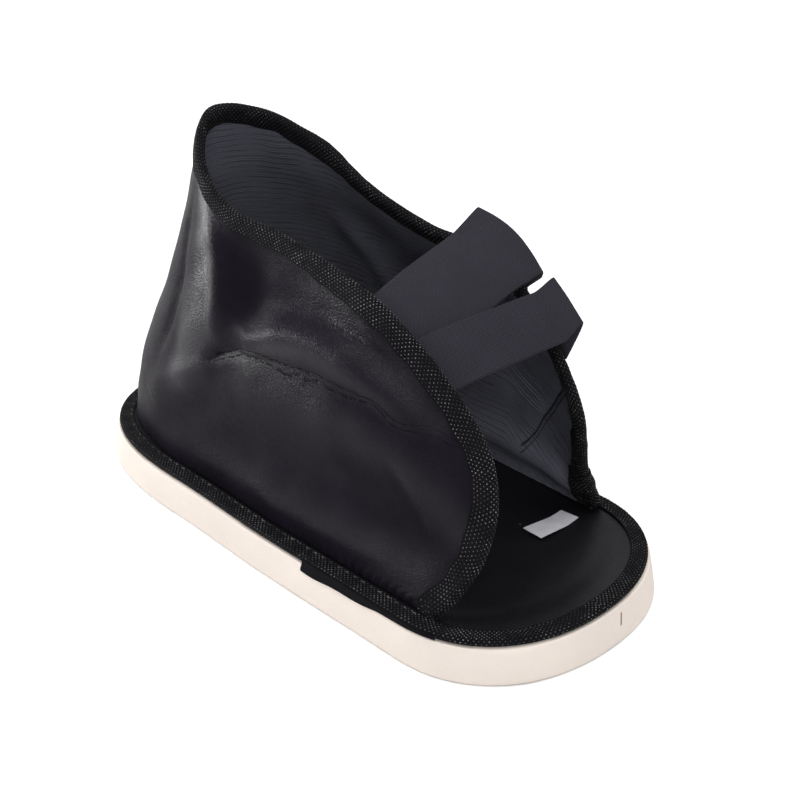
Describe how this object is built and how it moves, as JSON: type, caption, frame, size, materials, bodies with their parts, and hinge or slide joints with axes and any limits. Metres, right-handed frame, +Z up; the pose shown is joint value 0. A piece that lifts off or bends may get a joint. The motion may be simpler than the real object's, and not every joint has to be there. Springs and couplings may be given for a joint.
{
  "type": "open-toe cast boot",
  "caption": "Open-toe cast boot: flat foam sole, bound insole, and a wrap upper with a bound edge, closed over the instep by two elastic straps.",
  "frame": {"origin": "on the floor under the middle of the sole", "axes": "-Y towards the toe, +Y towards the heel, +Z up, and X across the boot with the straps' folded ends on the +X side"},
  "size_m": [0.1342, 0.3068, 0.1794],
  "materials": {
    "cream_foam": "matt closed-cell foam",
    "black_insole": "smooth coated fabric with a soft gloss",
    "rim_tape": "woven binding tape with small light dots",
    "black_leather": "grained coated fabric, satin, with a grey ribbed lining",
    "edge_tape": "woven binding tape with small light dots",
    "black_elastic": "matt elastic webbing",
    "white_label": "plain woven strip"
  },
  "bodies": {
    "root": {"sole": "cream_foam", "insole": "black_insole", "insole_binding": "rim_tape", "upper": "black_leather", "edge_binding": "edge_tape", "rear_strap": "black_elastic", "front_strap": "black_elastic", "label": "white_label"}
  },
  "joints": []
}
